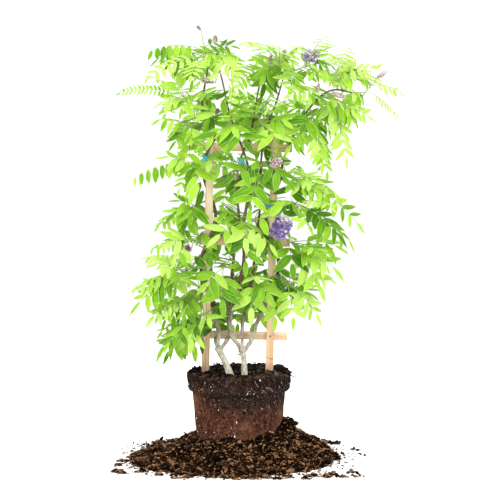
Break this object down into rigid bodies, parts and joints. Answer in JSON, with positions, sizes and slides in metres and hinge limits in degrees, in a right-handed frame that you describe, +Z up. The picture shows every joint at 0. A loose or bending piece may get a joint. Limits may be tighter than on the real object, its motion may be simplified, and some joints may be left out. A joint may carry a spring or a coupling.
{
  "type": "potted wisteria",
  "caption": "Young climbing wisteria with leaves and flower heads, tied to a wooden ladder trellis in a fibre pot, with loose compost heaped round the pot.",
  "frame": {"origin": "centre of the pot's flat base, on the ground", "axes": "+Z up, +X to the right seen from the front, +Y to the back"},
  "size_m": [0.792, 0.5903, 1.165],
  "materials": {
    "fibre_pot": "matt",
    "compost": "matt",
    "loose_compost": "matt",
    "pine": "sawn, matt",
    "nail_steel": "dull",
    "tie_tape": "matt",
    "bark": "rough, matt",
    "foliage": "satin, thin and translucent",
    "petals": "matt"
  },
  "bodies": {
    "root": {"bud_highest": "petals", "bud_left_high": "petals", "bud_left_mid": "petals", "nail_left_lower": "nail_steel", "nail_left_middle": "nail_steel", "nail_left_upper": "nail_steel", "nail_right_lower": "nail_steel", "nail_right_middle": "nail_steel", "nail_right_upper": "nail_steel", "pot": "fibre_pot", "potting_soil": "compost", "raceme_crown": "petals", "raceme_left": "petals", "raceme_open": "petals", "raceme_pale": "petals", "raceme_right": "petals", "raceme_top": "petals", "shoot_back_high": "foliage", "shoot_back_low": "foliage", "shoot_back_mid": "foliage", "shoot_back_top": "foliage", "shoot_crown": "foliage", "shoot_crown_left": "foliage", "shoot_crown_mid": "foliage", "shoot_crown_right": "foliage", "shoot_front_high": "foliage", "shoot_front_low": "foliage", "shoot_front_low_mid": "foliage", "shoot_front_mid": "foliage", "shoot_front_top": "foliage", "shoot_front_upper": "foliage", "shoot_left_bottom": "foliage", "shoot_left_high": "foliage", "shoot_left_low": "foliage", "shoot_left_low_mid": "foliage", "shoot_left_lower": "foliage", "shoot_left_mid": "foliage", "shoot_left_shoulder": "foliage", "shoot_left_upper": "foliage", "shoot_right_high": "foliage", "shoot_right_low": "foliage", "shoot_right_low_mid": "foliage", "shoot_right_mid": "foliage", "shoot_right_outer": "foliage", "shoot_right_tip": "foliage", "shoot_right_top": "foliage", "shoot_right_upper": "foliage", "spilled_soil": "loose_compost", "tie_centre": "tie_tape", "tie_left": "tie_tape", "tie_right_lower": "tie_tape", "tie_right_upper": "tie_tape", "trellis_post_left": "pine", "trellis_post_right": "pine", "trellis_rail_lower": "pine", "trellis_rail_middle": "pine", "trellis_rail_upper": "pine", "vine_left": "bark", "vine_right": "bark"}
  },
  "joints": []
}
